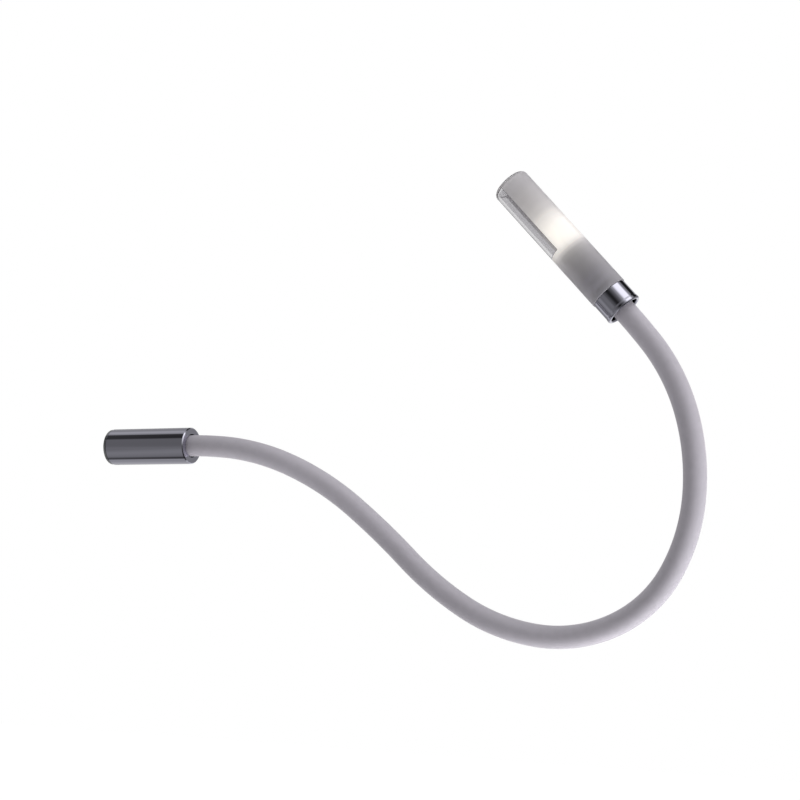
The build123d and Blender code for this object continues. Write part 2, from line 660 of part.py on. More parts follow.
def holder_contacts():
    """Build the two spring tubes that grip the lamp's pins."""
    with BuildPart() as contacts:
        for side in (-1, 1):
            rod(HEAD_FRAME, CONTACT_OD, HOLDER_SEAT + CONTACT_INSET, HOLDER_SEAT + CONTACT_HEIGHT,
                shift_y=side * PIN_PITCH / 2)
            rod(HEAD_FRAME, PIN_OD, BULB_BOTTOM - PIN_LENGTH, HOLDER_SEAT + CONTACT_HEIGHT,
                shift_y=side * PIN_PITCH / 2, mode=Mode.SUBTRACT)
    return contacts


def bulb_envelope():
    """Build the lamp's glass: a flat press at the bottom and a round body with a domed tip."""
    outer = BULB_OD / 2
    with BuildPart() as bulb:
        with BuildSketch(raised(HEAD_FRAME, BULB_BOTTOM)):
            RectangleRounded(BULB_PRESS_THICKNESS, BULB_PRESS_WIDTH, BULB_PRESS_CORNER)
        extrude(amount=BULB_PRESS_HEIGHT + BULB_FLOOR / 2)
        lathe(HEAD_FRAME, [(0, BULB_PRESS_TOP), (outer, BULB_PRESS_TOP), (outer, BULB_TOP), (0, BULB_TOP)])
        rims = bulb.edges().filter_by(GeomType.CIRCLE)
        wide = [e for e in rims if abs(e.radius - outer) < 0.01]
        fillet(max(wide, key=lambda e: (e.arc_center - HEAD_FRAME.origin).dot(HEAD_FRAME.z_dir)),
               BULB_TIP_ROUND)
        inner = outer - BULB_WALL
        with BuildSketch(side_section(HEAD_FRAME)):
            with BuildLine():
                Polyline(
                    (0, BULB_PRESS_TOP + BULB_FLOOR), (inner, BULB_PRESS_TOP + BULB_FLOOR),
                    (inner, BULB_TOP - BULB_TIP_ROUND), (inner - BULB_TIP_ROUND + BULB_CEILING,
                                                         BULB_TOP - BULB_CEILING),
                    (0, BULB_TOP - BULB_CEILING), close=True,
                )
            make_face()
        revolve(axis=long_axis(HEAD_FRAME), mode=Mode.SUBTRACT)
    return bulb


def bulb_pins():
    """Build the lamp's two pins, from the contacts up into the glass press."""
    with BuildPart() as pins:
        for side in (-1, 1):
            rod(HEAD_FRAME, PIN_OD, BULB_BOTTOM - PIN_LENGTH, BULB_BOTTOM, shift_y=side * PIN_PITCH / 2)
    return pins


def bulb_filament():
    """Build the filament: an upright coil on a straight leg that rises from the press."""
    radius = (FILAMENT_OD - FILAMENT_WIRE) / 2
    height = FILAMENT_TURNS * FILAMENT_PITCH
    base = raised(HEAD_FRAME, FILAMENT_BOTTOM)
    with BuildPart() as filament:
        with BuildLine() as route:
            Helix(FILAMENT_PITCH, height, radius, center=base.origin, direction=base.z_dir)
        start = route.wires()[0] @ 0
        with BuildSketch(Plane(origin=start, z_dir=route.wires()[0] % 0)):
            Circle(FILAMENT_WIRE / 2)
        sweep(path=route.wires()[0])
        foot = route.wires()[0] @ 0
        with BuildSketch(Plane(origin=foot, z_dir=-HEAD_FRAME.z_dir)):
            Circle(FILAMENT_LEG / 2)
        extrude(amount=FILAMENT_RISE - BULB_FLOOR)
    return filament


def save(name, builder):
    """Label one finished piece and write it."""
    builder.part.label = name
    export_step(builder.part, f"parts/{name}.step")


def main():
    os.makedirs("parts", exist_ok=True)
    save("wall_plate", wall_plate())
    save("base_housing", base_housing())
    save("root_ferrule", ferrule(WALL_FRAME, RECESS_FLOOR, -1))
    save("root_nut", ring_nut(WALL_FRAME, RECESS_FLOOR - BASE_WEB - NUT_THICKNESS))
    save("terminal_block", terminal_block())
    for side, name in ((-1, "terminal_tube_left"), (1, "terminal_tube_right")):
        save(name, terminal_tube(side))
    save("terminal_screws", terminal_screws())
    save("block_screw", block_screw())
    save("grub_screw", grub_screw())
    for index in range(len(ARM_TURNS)):
        number = f"{index + 1:02d}"
        save(f"arm_sleeve_{number}", arm_sleeve(index))
        save(f"arm_core_{number}", arm_core(index))
        save(f"arm_lead_{number}", arm_lead(index))
    save("head_collar", head_collar())
    save("tip_ferrule", ferrule(HEAD_FRAME, COLLAR_WEB_BOTTOM, 1))
    save("tip_nut", ring_nut(HEAD_FRAME, COLLAR_WEB_BOTTOM + COLLAR_WEB))
    for height, name in zip(RING_HEIGHTS, ("seal_ring_lower", "seal_ring_upper")):
        save(name, seal_ring(height))
    save("glass_shade", glass_shade())
    save("holder_sleeve", holder_sleeve())
    save("holder_ring", holder_ring())
    save("lamp_holder", lamp_holder())
    save("holder_contacts", holder_contacts())
    save("bulb_envelope", bulb_envelope())
    save("bulb_pins", bulb_pins())
    save("bulb_filament", bulb_filament())


if __name__ == "__main__":
    main()
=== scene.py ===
"""A wall light on a bendable arm, dressed for Blender.

A chrome base stands on the wall, an arm sleeved in grey silicone dips and loops up from it, and a
slim head holds a small lamp in an etched glass tube with one clear window.
Metres, +Z up. The wall is the plane Y = 0 and the light stands out from it along -Y.
"""

import logging
import math
from dataclasses import dataclass, field
from enum import Enum
from typing import Any

import bmesh
import bpy
from mathutils import Matrix, Vector


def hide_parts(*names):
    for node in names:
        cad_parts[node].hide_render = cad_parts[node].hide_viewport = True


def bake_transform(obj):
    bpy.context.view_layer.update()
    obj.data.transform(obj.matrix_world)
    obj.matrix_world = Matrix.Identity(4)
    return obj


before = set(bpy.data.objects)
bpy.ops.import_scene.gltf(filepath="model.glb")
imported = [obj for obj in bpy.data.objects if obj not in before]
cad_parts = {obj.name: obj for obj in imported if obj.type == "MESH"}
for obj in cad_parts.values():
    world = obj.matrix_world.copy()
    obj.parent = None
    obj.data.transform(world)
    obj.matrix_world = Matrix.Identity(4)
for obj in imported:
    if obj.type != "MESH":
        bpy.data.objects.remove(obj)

LOG = logging.getLogger("wall_light")
MM = 0.001
# The scale that turns a place in metres into one in millimetres
IN_MM = (1 / MM,) * 3
# Points nearer than this are one point of a mesh
WELD = 1e-7
# A noise keeps mostly between these two values
NOISE_SPREAD = (0.3, 0.7)
# The broad unevenness has this share of the fine one's frequency
BROAD_SHARE = 0.09
# The places of a colour mix's sockets among its inputs, and of its result among its outputs
MIX_FACTOR, MIX_FIRST, MIX_SECOND, MIX_RESULT = 0, 6, 7, 2
# Roughly the middle of the object. The lamps face it and the dome goes round it
MIDDLE = Vector((0.01, -0.2, 0.02))


# Shared helpers


def linear(code: str) -> tuple[float, float, float, float]:
    """Turn an sRGB hex colour into linear light.

    Args:
        code: The colour as six hex digits after a hash sign.

    Returns:
        Red, green, blue and an alpha of one.
    """
    shares = [int(code[i:i + 2], 16) / 255 for i in (1, 3, 5)]
    red, green, blue = (
        s / 12.92 if s <= 0.04045 else ((s + 0.055) / 1.055) ** 2.4 for s in shares)
    return red, green, blue, 1.0


def add_node(
    tree: bpy.types.NodeTree, kind: str, inputs: dict[Any, Any] | None = None, **settings: Any
) -> bpy.types.Node:
    """Add a node with its settings, and set or link its inputs.

    Args:
        tree: The node tree that gets the node.
        kind: The node's type name.
        inputs: For each input, by name or place, a value or the socket that feeds it.
        settings: The node's own properties.

    Returns:
        The new node.
    """
    node = tree.nodes.new(kind)
    for name, value in settings.items():
        setattr(node, name, value)
    for name, value in (inputs or {}).items():
        if isinstance(value, bpy.types.NodeSocket):
            tree.links.new(value, node.inputs[name])
        else:
            node.inputs[name].default_value = value
    return node


def empty_tree(owner: bpy.types.ID) -> bpy.types.NodeTree:
    """Turn on the nodes of a material or world and clear them.

    Args:
        owner: The material or world.

    Returns:
        Its node tree, with nothing in it.
    """
    owner.use_nodes = True
    owner.node_tree.nodes.clear()
    return owner.node_tree


def set_stops(ramp: bpy.types.ColorRamp, stops: list[tuple[float, Any]]) -> None:
    """Give a colour ramp its stops in place of those that it starts with.

    Args:
        ramp: The colour ramp.
        stops: The place from 0 to 1 and the linear colour of each stop, in rising order.
    """
    steps = ramp.elements
    while len(steps) > 1:
        steps.remove(steps[0])
    for number, (place, colour) in enumerate(stops):
        step = steps[0] if number == 0 else steps.new(place)
        step.position = place
        step.color = colour


def seen_share(tree: bpy.types.NodeTree) -> bpy.types.NodeSocket:
    """Tell the rays that see a surface, straight, in a mirror or through glass, from the rest.

    Args:
        tree: The node tree of the floor or of the surround.

    Returns:
        The socket that is one for such a ray and zero for any other.
    """
    path = add_node(tree, "ShaderNodeLightPath")
    either = add_node(tree, "ShaderNodeMath", {
        0: path.outputs["Is Camera Ray"], 1: path.outputs["Is Glossy Ray"]}, operation="MAXIMUM")
    seen = add_node(tree, "ShaderNodeMath", {
        0: either.outputs[0], 1: path.outputs["Is Transmission Ray"]}, operation="MAXIMUM")
    return seen.outputs[0]


def add_to_scene(name: str, data: bpy.types.ID) -> bpy.types.Object:
    """Make an object of a mesh, a lamp or a camera and put it in the scene.

    Args:
        name: The object's name.
        data: What the object holds.

    Returns:
        The new object, at the origin.
    """
    made = bpy.data.objects.new(name, data)
    bpy.context.scene.collection.objects.link(made)
    return made


def finished_piece(name: str, mesh: bmesh.types.BMesh, angle: float = 40.0) -> bpy.types.Object:
    """Make an object of a finished mesh, with its place in the mesh and its edges shaded.

    Args:
        name: The piece's name.
        mesh: The mesh, in metres and in the frame that the CAD shares. It is freed.
        angle: Faces that meet at less than this many degrees shade smoothly.

    Returns:
        The new object, at the origin.
    """
    data = bpy.data.meshes.new(name)
    for edge in mesh.edges:
        folded = edge.calc_face_angle(0.0) >= math.radians(angle)
        edge.smooth = len(edge.link_faces) == 2 and not folded
    for face in mesh.faces:
        face.smooth = True
    mesh.to_mesh(data)
    mesh.free()
    return add_to_scene(name, data)


def give_finish(piece: bpy.types.Object, material: bpy.types.Material) -> None:
    """Put one material on a piece in place of what it had.

    Args:
        piece: The piece.
        material: The material.
    """
    piece.data.materials.clear()
    piece.data.materials.append(material)
    piece.data.polygons.foreach_set("material_index", [0] * len(piece.data.polygons))


# The line of the arm


@dataclass(frozen=True)
class Bend:
    """One stretch of the arm: an arc that starts on a cross-section and turns about a hub.

    A cross-section is a matrix whose X points up across the arm, Y to its side and Z ahead.
    """

    start: Matrix
    hub: Vector
    axis: Vector
    angle: float
    length: float

    def at(self, share: float) -> Matrix:
        """Give the cross-section at a share of the stretch, from 0 to 1."""
        turn = Matrix.Rotation(self.angle * share, 4, self.axis)
        return Matrix.Translation(self.hub) @ turn @ Matrix.Translation(-self.hub) @ self.start


@dataclass(frozen=True)
class ArmLine:
    """The middle line of the arm, from the front of the base to the collar of the head.

    Each turn gives the degrees that a stretch bends upward and sideways. The two end stretches
    are half as long as the others.
    """

    leaves_at: float = 62.0 * MM
    stretch: float = 48.7 * MM
    turns: tuple[tuple[float, float], ...] = (
        (-5.5, -6.5), (-19.5, -5.0), (-15.0, 2.5), (-4.5, 6.5), (13.5, 2.5), (23.0, -3.5),
        (32.5, 2.5), (34.5, 9.0), (25.0, -0.5), (20.0, 0.0), (22.5, 3.5), (3.5, 0.5),
    )

    def bends(self) -> list[Bend]:
        """Work out the stretches one after another.

        Returns:
            One bend for each turn, from the base to the head.
        """
        place = Matrix(((0, -1, 0, 0), (0, 0, -1, -self.leaves_at), (1, 0, 0, 0), (0, 0, 0, 1)))
        found: list[Bend] = []
        for index, (upward, sideways) in enumerate(self.turns):
            length = self.stretch / 2 if index in (0, len(self.turns) - 1) else self.stretch
            degrees = math.hypot(upward, sideways)
            up, side, ahead = (place.col[k].to_3d() for k in range(3))
            heading = up * (upward / degrees) + side * (sideways / degrees)
            radius = length / math.radians(degrees)
            bend = Bend(place, place.translation + heading * radius, ahead.cross(heading),
                        math.radians(degrees), length)
            found.append(bend)
            place = bend.at(1.0)
        return found

    def head(self) -> Matrix:
        """Give the cross-section at the arm's end, which carries the head."""
        return self.bends()[-1].at(1.0)


# Finishes


@dataclass(frozen=True)
class Finish:
    """The finish of one real material, with the unevenness that its making leaves.

    Sizes are in millimetres. Grain is the size of the unevenness and relief its height. The
    broad patches in tone and roughness are 11 grains across, so they show from further away.
    """

    name: str
    colour: str
    roughness: float
    metallic: float = 0.0
    grain: float = 1.0
    relief: float = 0.004
    tone_swing: float = 0.08
    rough_swing: float = 0.05

    def coordinates(self, tree: bpy.types.NodeTree) -> bpy.types.NodeSocket:
        """Give the place on the piece in millimetres.

        Args:
            tree: The material's node tree.

        Returns:
            The socket with the place.
        """
        place = add_node(tree, "ShaderNodeTexCoord")
        return add_node(tree, "ShaderNodeMapping", {
            "Vector": place.outputs["Object"], "Scale": IN_MM}).outputs[0]

    def grained(
        self, tree: bpy.types.NodeTree, place: bpy.types.NodeSocket
    ) -> tuple[bpy.types.NodeSocket, bpy.types.NodeSocket, bpy.types.NodeSocket]:
        """Make the colour, roughness and bump that vary with the grain.

        Args:
            tree: The material's node tree.
            place: The place on the piece in millimetres.

        Returns:
            The sockets of the colour, the roughness and the normal.
        """
        low, high = NOISE_SPREAD
        fine = add_node(tree, "ShaderNodeTexNoise", {
            "Vector": place, "Scale": 1 / self.grain, "Detail": 3.0})
        broad = add_node(tree, "ShaderNodeTexNoise", {
            "Vector": place, "Scale": BROAD_SHARE / self.grain, "Detail": 2.0})
        tone = add_node(tree, "ShaderNodeMapRange", {
            "Value": broad.outputs["Fac"], "From Min": low, "From Max": high,
            "To Min": 1 - self.tone_swing, "To Max": 1 + self.tone_swing})
        colour = add_node(tree, "ShaderNodeVectorMath", {
            0: linear(self.colour)[:3], "Scale": tone.outputs[0]}, operation="SCALE")
        roughness = add_node(tree, "ShaderNodeMapRange", {
            "Value": broad.outputs["Fac"], "From Min": low, "From Max": high,
            "To Min": max(self.roughness - self.rough_swing, 0.0),
            "To Max": self.roughness + self.rough_swing})
        bump = add_node(tree, "ShaderNodeBump", {
            "Height": fine.outputs["Fac"], "Distance": self.relief * MM, "Strength": 1.0})
        return colour.outputs[0], roughness.outputs[0], bump.outputs[0]

    def shader_inputs(self, tree: bpy.types.NodeTree) -> dict[Any, Any]:
        """Give the values and links of the surface shader.

        Args:
            tree: The material's node tree.

        Returns:
            For each input of the shader, its value or the socket that feeds it.
        """
        colour, roughness, normal = self.grained(tree, self.coordinates(tree))
        return {"Base Color": colour, "Metallic": self.metallic, "Roughness": roughness,
                "Normal": normal}

    def material(self) -> bpy.types.Material:
        """Make the material, or give it again if it was made before.

        Returns:
            The material of this finish.
        """
        made = bpy.data.materials.get(self.name)
        if made is not None:
            return made
        made = bpy.data.materials.new(self.name)
        tree = empty_tree(made)
        shader = add_node(tree, "ShaderNodeBsdfPrincipled", self.shader_inputs(tree))
        add_node(tree, "ShaderNodeOutputMaterial", {"Surface": shader.outputs[0]})
        return made


@dataclass(frozen=True)
class SiliconeRubber(Finish):
    """Extruded silicone: matt, a little dusty, so that it pales where the eye grazes it."""

    dust: float = 0.25
    dust_roughness: float = 0.35
    index: float = 1.41

    def coordinates(self, tree: bpy.types.NodeTree) -> bpy.types.NodeSocket:
        """Give the place at rest in millimetres, so that the grain bends with the arm.

        Args:
            tree: The material's node tree.

        Returns:
            The socket with the place.
        """
        rest = add_node(tree, "ShaderNodeAttribute", attribute_name="place_at_rest")
        return add_node(tree, "ShaderNodeMapping", {
            "Vector": rest.outputs["Vector"], "Scale": IN_MM}).outputs[0]

    def shader_inputs(self, tree: bpy.types.NodeTree) -> dict[Any, Any]:
        """Add the dust to the plain finish.

        Args:
            tree: The material's node tree.

        Returns:
            For each input of the shader, its value or the socket that feeds it.
        """
        return super().shader_inputs(tree) | {
            "IOR": self.index, "Sheen Weight": self.dust, "Sheen Roughness": self.dust_roughness}


@dataclass(frozen=True)
class ClearGlass(Finish):
    """Polished glass: see-through, with the faint waves of drawn tubing."""

    index: float = 1.46

    def shader_inputs(self, tree: bpy.types.NodeTree) -> dict[Any, Any]:
        """Make the plain finish see-through.

        Args:
            tree: The material's node tree.

        Returns:
            For each input of the shader, its value or the socket that feeds it.
        """
        return super().shader_inputs(tree) | {"IOR": self.index, "Transmission Weight": 1.0}


@dataclass(frozen=True)
class GlowingWire(Finish):
    """Wound tungsten at white heat."""

    light: str = "#fff1d8"
    strength: float = 3.0

    def shader_inputs(self, tree: bpy.types.NodeTree) -> dict[Any, Any]:
        """Let the wire shine.

        Args:
            tree: The material's node tree.

        Returns:
            For each input of the shader, its value or the socket that feeds it.
        """
        return super().shader_inputs(tree) | {
            "Emission Color": linear(self.light), "Emission Strength": self.strength}


@dataclass(frozen=True)
class EtchedGlass(Finish):
    """Borosilicate tube, acid etched outside except for one clear window, with a painted glow.

    The glow on the etching is painted on as emission, on top of the filament's own light through
    the glass. The window is masked before the acid bath, and a fine dark line is painted along
    its border. Lengths are in millimetres, and heights start at the arm's end. Glow gives the
    strength of the painted light for each height, and it is painted brighter towards one side, as
    the photograph shows it. Its share is the level midway between the sides, the level plus the
    lean at the brighter side, and never under the least.
    """

    axis_frame: Matrix = field(default_factory=Matrix)
    radius: float = 12.0
    window_half_angle: float = 54.5
    window_bottom: float = 53.0
    window_top: float = 106.0
    # Width, fade and colour of the painted dark line along the window's border
    border: float = 0.08
    border_fade: float = 0.2
    border_colour: str = "#7c7c7e"
    etched_depth: float = 0.5
    etched_edge: tuple[float, float] = (-0.1, 0.15)
    clear: str = "#d5d4d6"
    clear_roughness: float = 0.015
    haze: float = 0.5
    index: float = 1.47
    # Strength of the painted glow at each height along the tube
    glow: tuple[tuple[float, float], ...] = (
        (26.0, 0.0), (36.0, 0.035), (42.0, 0.07), (46.0, 0.125), (48.5, 0.22), (51.0, 0.43),
        (53.5, 0.55), (57.0, 0.57), (60.0, 0.57), (66.0, 0.56), (69.5, 0.48), (72.5, 0.40),
        (79.0, 0.22), (85.5, 0.15), (92.0, 0.12), (100.0, 0.08), (112.0, 0.06),
    )
    light: str = "#fffaee"
    # The painted glow is painted brighter towards one side of the window
    glow_level: float = 0.47
    glow_lean: float = 0.78
    glow_least: float = 0.45

    def coordinates(self, tree: bpy.types.NodeTree) -> bpy.types.NodeSocket:
        """Give the place in millimetres, with X to the middle of the window and Z along the tube.

        Args:
            tree: The material's node tree.

        Returns:
            The socket with the place.
        """
        inward = self.axis_frame.inverted()
        place = add_node(tree, "ShaderNodeTexCoord")
        return add_node(tree, "ShaderNodeMapping", {
            "Vector": place.outputs["Object"], "Location": inward.translation / MM,
            "Rotation": inward.to_euler(), "Scale": IN_MM}).outputs[0]

    def etched_skin(
        self, tree: bpy.types.NodeTree, across: bpy.types.NodeSocket, side: bpy.types.NodeSocket
    ) -> bpy.types.NodeSocket:
        """Tell the tube's outer skin, which the acid reaches, from the rest of its wall.

        Args:
            tree: The material's node tree.
            across: The place towards the middle of the window.
            side: The place to its side.

        Returns:
            The socket that is one in the skin and zero inside it.
        """
        side_square = add_node(tree, "ShaderNodeMath", {0: side, 1: side}, operation="MULTIPLY")
        square = add_node(tree, "ShaderNodeMath", {
            0: across, 1: across, 2: side_square.outputs[0]}, operation="MULTIPLY_ADD")
        middle = add_node(tree, "ShaderNodeMath", {0: square.outputs[0]}, operation="SQRT")
        skin = add_node(tree, "ShaderNodeMath", {
            0: middle.outputs[0], 1: self.radius - self.etched_depth}, operation="GREATER_THAN")
        return skin.outputs[0]

    def window_depth(
        self, tree: bpy.types.NodeTree, across: bpy.types.NodeSocket, side: bpy.types.NodeSocket,
        height: bpy.types.NodeSocket,
    ) -> bpy.types.NodeSocket:
        """Measure how far a place lies outside the window's border, less than zero inside it.

        Args:
            tree: The material's node tree.
            across: The place towards the middle of the window.
            side: The place to its side.
            height: The place along the tube.

        Returns:
            The socket with the distance in millimetres.
        """
        half_width = math.radians(self.window_half_angle) * self.radius
        signed = add_node(tree, "ShaderNodeMath", {0: side, 1: across}, operation="ARCTAN2")
        angle = add_node(tree, "ShaderNodeMath", {0: signed.outputs[0]}, operation="ABSOLUTE")
        past_side = add_node(tree, "ShaderNodeMath", {
            0: angle.outputs[0], 1: self.radius, 2: -half_width}, operation="MULTIPLY_ADD")
        below = add_node(tree, "ShaderNodeMath", {
            0: self.window_bottom, 1: height}, operation="SUBTRACT")
        above = add_node(tree, "ShaderNodeMath", {
            0: height, 1: self.window_top}, operation="SUBTRACT")
        past_end = add_node(tree, "ShaderNodeMath", {
            0: below.outputs[0], 1: above.outputs[0]}, operation="MAXIMUM")
        return add_node(tree, "ShaderNodeMath", {
            0: past_side.outputs[0], 1: past_end.outputs[0]}, operation="MAXIMUM").outputs[0]

    def border_line(
        self, tree: bpy.types.NodeTree, skin: bpy.types.NodeSocket, side: bpy.types.NodeSocket,
        depth: bpy.types.NodeSocket,
    ) -> bpy.types.NodeSocket:
        """Mark the fine dark line that is painted along the window's border.

        Only the border on the window's brighter side has it. The photograph shows it there, and
        the other side can't be seen.

        Args:
            tree: The material's node tree.
            skin: One in the tube's outer skin.
            side: The place to the side of the window's middle.
            depth: The distance outside the window's border.

        Returns:
            The socket that is one on the line and zero off it.
        """
        near_side = add_node(tree, "ShaderNodeMath", {0: side, 1: 0.0}, operation="GREATER_THAN")
        trimmed = add_node(tree, "ShaderNodeMath", {
            0: skin, 1: near_side.outputs[0]}, operation="MULTIPLY")
        off = add_node(tree, "ShaderNodeMath", {0: depth}, operation="ABSOLUTE")
        faded = add_node(tree, "ShaderNodeMapRange", {
            "Value": off.outputs[0], "From Min": self.border,
            "From Max": self.border + self.border_fade, "To Min": 1.0, "To Max": 0.0})
        return add_node(tree, "ShaderNodeMath", {
            0: trimmed.outputs[0], 1: faded.outputs[0]}, operation="MULTIPLY").outputs[0]

    def painted_glow(
        self, tree: bpy.types.NodeTree, side: bpy.types.NodeSocket, height: bpy.types.NodeSocket
    ) -> bpy.types.NodeSocket:
        """Paint the glow that stands in for the lamp's light on a fully etched tube, by height and
        brighter towards one side.

        Args:
            tree: The material's node tree.
            side: The place to the side of the window's middle.
            height: The place along the tube.

        Returns:
            The socket with the strength of the light.
        """
        low, high = self.glow[0][0], self.glow[-1][0]
        share = add_node(tree, "ShaderNodeMapRange", {
            "Value": height, "From Min": low, "From Max": high})
        ramp = add_node(tree, "ShaderNodeValToRGB", {0: share.outputs[0]})
        set_stops(ramp.color_ramp, [
            ((at - low) / (high - low), (strength, strength, strength, 1.0))
            for at, strength in self.glow])
        ramp.color_ramp.interpolation = "EASE"
        # Painted brighter towards one side: the painted glow rises across the window
        sloped = add_node(tree, "ShaderNodeMath", {
            0: side, 1: self.glow_lean / self.radius, 2: self.glow_level},
            operation="MULTIPLY_ADD")
        leaning = add_node(tree, "ShaderNodeMath", {
            0: self.glow_least, 1: sloped.outputs[0]}, operation="MAXIMUM")
        return add_node(tree, "ShaderNodeMath", {
            0: ramp.outputs[0], 1: leaning.outputs[0]}, operation="MULTIPLY").outputs[0]

    def shader_inputs(self, tree: bpy.types.NodeTree) -> dict[Any, Any]:
        """Make the etched wall, the clear window with its painted dark border line, and the painted
        glow.

        Args:
            tree: The material's node tree.

        Returns:
            For each input of the shader, its value or the socket that feeds it.
        """
        place = self.coordinates(tree)
        colour, roughness, normal = self.grained(tree, place)
        across, side, height = add_node(tree, "ShaderNodeSeparateXYZ", {0: place}).outputs
        depth = self.window_depth(tree, across, side, height)
        skin = self.etched_skin(tree, across, side)
        unmasked = add_node(tree, "ShaderNodeMapRange", {
            "Value": depth, "From Min": self.etched_edge[0], "From Max": self.etched_edge[1]})
        etched = add_node(tree, "ShaderNodeMath", {
            0: skin, 1: unmasked.outputs[0]}, operation="MULTIPLY").outputs[0]
        tree.links.new(etched, normal.node.inputs["Strength"])
        line = self.border_line(tree, skin, side, depth)
        unlined = add_node(tree, "ShaderNodeMath", {0: 1.0, 1: line}, operation="SUBTRACT")
        open_share = add_node(tree, "ShaderNodeMath", {
            0: etched, 1: unlined.outputs[0]}, operation="MULTIPLY")
        # Painted glow, none on the clear window or on the border line
        shine = add_node(tree, "ShaderNodeMath", {
            0: self.painted_glow(tree, side, height), 1: open_share.outputs[0]},
            operation="MULTIPLY")
        masked = add_node(tree, "ShaderNodeMix", {
            MIX_FACTOR: etched, MIX_FIRST: linear(self.clear), MIX_SECOND: colour},
            data_type="RGBA")
        # Painted dark line along the window's border
        lined = add_node(tree, "ShaderNodeMix", {
            MIX_FACTOR: line, MIX_FIRST: masked.outputs[MIX_RESULT],
            MIX_SECOND: linear(self.border_colour)}, data_type="RGBA")
        rough = add_node(tree, "ShaderNodeMath", {
            0: etched, 1: roughness, 2: self.clear_roughness}, operation="MULTIPLY_ADD")
        through = add_node(tree, "ShaderNodeMath", {
            0: etched, 1: self.haze - 1, 2: 1.0}, operation="MULTIPLY_ADD")
        return {
            "Base Color": lined.outputs[MIX_RESULT],
            "Roughness": rough.outputs[0],
            "Normal": normal,
            "IOR": self.index,
            "Transmission Weight": through.outputs[0],
            "Emission Color": linear(self.light),
            "Emission Strength": shine.outputs[0],
        }


class Workshop(Enum):
    """The finishes of the wall light, by the stuff that each piece is made of.

    A grain whose comment calls it finer in reality is too fine to show in the render and is
    drawn coarser. A pixel there is some 0.65 mm, so at that size it is the grain's broad patches,
    11 grains across, that show. The real sizes are typical ones, not measured.
    """

    # Bright chromium over polished brass. A mirror with a faint ripple, some 6 mm long, from the
    # polishing wheel.
    CHROME = Finish("chromium_polished", "#c2c1ce", 0.02, 1.0, grain=6.0, relief=0.0015,
                    tone_swing=0.015, rough_swing=0.015)
    # Zinc on pressed steel. A dull, slightly mottled silver. Finer in reality, crystals 0.05 mm
    # across.
    ZINC = Finish("zinc_electroplated", "#a9abad", 0.32, 1.0, grain=1.2, relief=0.004,
                  tone_swing=0.12)
    # Nickel on turned steel. What the tool leaves keeps it from being a mirror. Finer in reality,
    # marks 0.05 mm wide, and drawn without their direction.
    NICKEL = Finish("nickel_turned", "#b9b3a6", 0.22, 1.0, grain=0.5, relief=0.003,
                    tone_swing=0.06)
    # Bare brass, drawn and sawn. Warm, with darker spots from handling. Finer in reality, marks
    # 0.1 mm wide.
    BRASS = Finish("brass_drawn", "#b98f4a", 0.3, 1.0, grain=0.8, relief=0.004, tone_swing=0.15)
    # Moulded polyamide. White and waxy, with the skin of an eroded mould. Finer in reality, pits
    # 0.05 mm across.
    POLYAMIDE = Finish("polyamide_moulded", "#d9d6cb", 0.45, grain=0.7, relief=0.006)
    # Extruded silicone. Light cool grey, matt, pale with dust where the eye grazes it. Finer in
    # reality, bumps 0.1 mm across.
    SILICONE = SiliconeRubber("silicone_extruded", "#a8a4ac", 0.52, grain=0.35, relief=0.006,
                              tone_swing=0.03, rough_swing=0.04)
    # Wound steel strip, dull and mottled, drawn without its turns. Finer in reality, rolling
    # marks 0.1 mm wide.
    CONDUIT = Finish("steel_strip_wound", "#8d8c8a", 0.38, 1.0, grain=0.9, relief=0.02,
                     tone_swing=0.2)
    # Silicone wire insulation. Chalky white. Finer in reality, powder of 0.02 mm.
    INSULATION = Finish("silicone_insulation", "#c9c4bb", 0.6, grain=0.4, relief=0.005)
    # Nitrile rubber. Near black with a soft bloom. Finer in reality, specks of 0.02 mm.
    RUBBER = Finish("nitrile_rubber", "#1d1d1e", 0.55, grain=0.4, relief=0.006, tone_swing=0.2)
    # Fused quartz of the lamp. Clear and smooth, with waves some 4 mm long.
    QUARTZ = ClearGlass("quartz_fused", "#f7f7f5", 0.03, grain=4.0, relief=0.002,
                        tone_swing=0.01, rough_swing=0.01)
    # Anodised aluminium tube around the holder. Satin, from drawing and etching. Finer in
    # reality, pits of 0.02 mm.
    ALUMINIUM = Finish("aluminium_anodised", "#6f7072", 0.4, 1.0, grain=0.6, relief=0.004)
    # Unglazed steatite. Off-white and slightly gritty. Finer in reality, grit of 0.05 mm.
    STEATITE = Finish("steatite_unglazed", "#d8d2c4", 0.7, grain=0.3, relief=0.01,
                      tone_swing=0.05)
    # Tungsten wire, lit. Finer in reality, drawing marks of 0.01 mm.
    TUNGSTEN = GlowingWire("tungsten_lit", "#ffe9c4", 0.5, grain=0.2, relief=0.002)


def dress_nodes(finishes: dict[Workshop, tuple[str, ...]]) -> None:
    """Give the CAD's own solids their finishes.

    Args:
        finishes: For each finish, the nodes that get it.
    """
    for finish, nodes in finishes.items():
        for node in nodes:
            give_finish(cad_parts[node], finish.value.material())
            LOG.info("dressed %s in %s", node, finish.value.name)


# Sub-assemblies


@dataclass
class WallBase:
    """The chrome base with the plate, ferrule and terminals inside it. All are the CAD's solids."""

    shell: str = "base_housing"
    plate: str = "wall_plate"

    def dress(self) -> None:
        """Give each solid of the base its finish."""
        dress_nodes({
            Workshop.CHROME: (self.shell,),
            Workshop.ZINC: (self.plate,),
            Workshop.NICKEL: (
                "root_ferrule", "root_nut", "terminal_screws", "block_screw", "grub_screw"),
            Workshop.BRASS: ("terminal_tube_left", "terminal_tube_right"),
            Workshop.POLYAMIDE: ("terminal_block",),
        })


